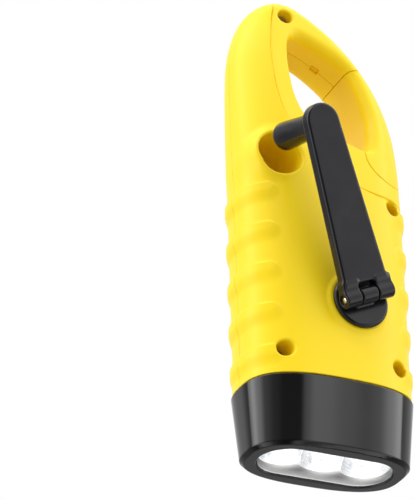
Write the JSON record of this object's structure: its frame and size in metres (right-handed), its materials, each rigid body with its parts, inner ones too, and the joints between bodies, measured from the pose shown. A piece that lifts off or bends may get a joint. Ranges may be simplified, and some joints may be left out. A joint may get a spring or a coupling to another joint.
{
  "type": "hand crank flashlight",
  "caption": "Pocket flashlight with a solar face, a folding crank that turns an internal generator, and a carabiner-shaped carrying loop with a sprung gate.",
  "frame": {"origin": "middle of the lens, level with the rim of the head", "axes": "+Z from the lens to the top of the loop, -Y out of the solar side, +Y out of the crank side, the gate of the loop on the -X side"},
  "size_m": [0.048, 0.0518, 0.1345],
  "materials": {
    "yellow_plastic": "satin",
    "black_gloss_plastic": "gloss",
    "clear_lens": "clear polished plastic",
    "seal_rubber": "matt",
    "reflector_chrome": "mirror",
    "board_white": "satin",
    "led_dome": "clear dome over yellow phosphor",
    "frame_black": "satin gloss",
    "solar_cell": "brown cell under clear resin",
    "board_green": "satin",
    "battery_wrap": "shrink wrap",
    "zinc_plate": "plated",
    "switch_black": "matt",
    "gear_white": "satin",
    "steel": "ground",
    "screw_steel": "nickel plated",
    "copper_winding": "enamelled wire",
    "bushing_brass": "machined",
    "magnet_ferrite": "dark ceramic",
    "cable_red": "satin",
    "crank_black": "satin"
  },
  "bodies": {
    "body": {"front_shell": "yellow_plastic", "rear_shell": "yellow_plastic", "head_bezel": "black_gloss_plastic", "lens": "clear_lens", "lens_seal": "seal_rubber", "reflector": "reflector_chrome", "led_board": "board_white", "led_1": "led_dome", "led_2": "led_dome", "led_3": "led_dome", "solar_frame": "frame_black", "solar_cell": "solar_cell", "main_board": "board_green", "battery_cell": "battery_wrap", "battery_clip": "zinc_plate", "generator_housing": "zinc_plate", "switch_body": "switch_black", "gearbox_plate": "gear_white", "gear_axle_2": "steel", "gear_axle_3": "steel", "gate_pin": "steel", "gate_spring": "steel", "shell_screw_1": "screw_steel", "shell_screw_2": "screw_steel", "shell_screw_3": "screw_steel", "shell_screw_4": "screw_steel", "generator_coil": "copper_winding", "crank_bushing": "bushing_brass", "led_cable": "cable_red"},
    "crank_hub": {"crank_hub": "crank_black", "crank_gear": "gear_white"},
    "crank": {"crank_arm": "crank_black", "crank_hinge_pin": "steel", "knob_pin": "steel"},
    "knob": {"crank_knob": "crank_black"},
    "gear_2": {"compound_gear_2": "gear_white"},
    "gear_3": {"compound_gear_3": "gear_white"},
    "rotor": {"rotor_shaft": "steel", "rotor_magnet": "magnet_ferrite"},
    "gate": {"carabiner_gate": "yellow_plastic"},
    "button": {"power_button": "crank_black"}
  },
  "joints": [
    {"name": "rotor_spin", "type": "hinge", "parent": "body", "child": "rotor", "pos_m": [-0.00255, 0, 0.05951], "axis": [0, 1, 0], "continuous": true},
    {"name": "gear3_spin", "type": "hinge", "parent": "body", "child": "gear_3", "pos_m": [0.00495, 0.004, 0.04951], "axis": [0, 1, 0], "continuous": true},
    {"name": "gear2_spin", "type": "hinge", "parent": "body", "child": "gear_2", "pos_m": [0.00845, 0.007, 0.03751], "axis": [0, 1, 0], "continuous": true},
    {"name": "crank_spin", "type": "hinge", "parent": "body", "child": "crank_hub", "pos_m": [-0.0038, 0.013, 0.04], "axis": [0, 1, 0], "continuous": true},
    {"name": "crank_fold", "type": "hinge", "parent": "crank_hub", "child": "crank", "pos_m": [-0.0038, 0.0189, 0.04], "axis": [-0.9063, 0, 0.4226], "range_deg": [-18, 162]},
    {"name": "knob_spin", "type": "hinge", "parent": "crank", "child": "knob", "pos_m": [0.01409, 0.03265, 0.07836], "axis": [-0.1306, 0.9511, -0.2801], "continuous": true},
    {"name": "gate_swing", "type": "hinge", "parent": "body", "child": "gate", "pos_m": [-0.017, 0, 0.087], "axis": [0, 1, 0], "range_deg": [0, 28], "stiffness_Nm_per_rad": 0.02, "springref_deg": -28.65},
    {"name": "button_press", "type": "slide", "parent": "body", "child": "button", "axis": [1, 0, 0], "range_m": [0, 0.001], "stiffness_N_per_m": 800, "springref_m": -0.0004}
  ],
  "couplings": [
    {"joint": "gear3_spin", "follows": "rotor_spin", "ratio": -0.25},
    {"joint": "gear2_spin", "follows": "rotor_spin", "ratio": 0.0625},
    {"joint": "crank_spin", "follows": "rotor_spin", "ratio": -0.015625}
  ]
}
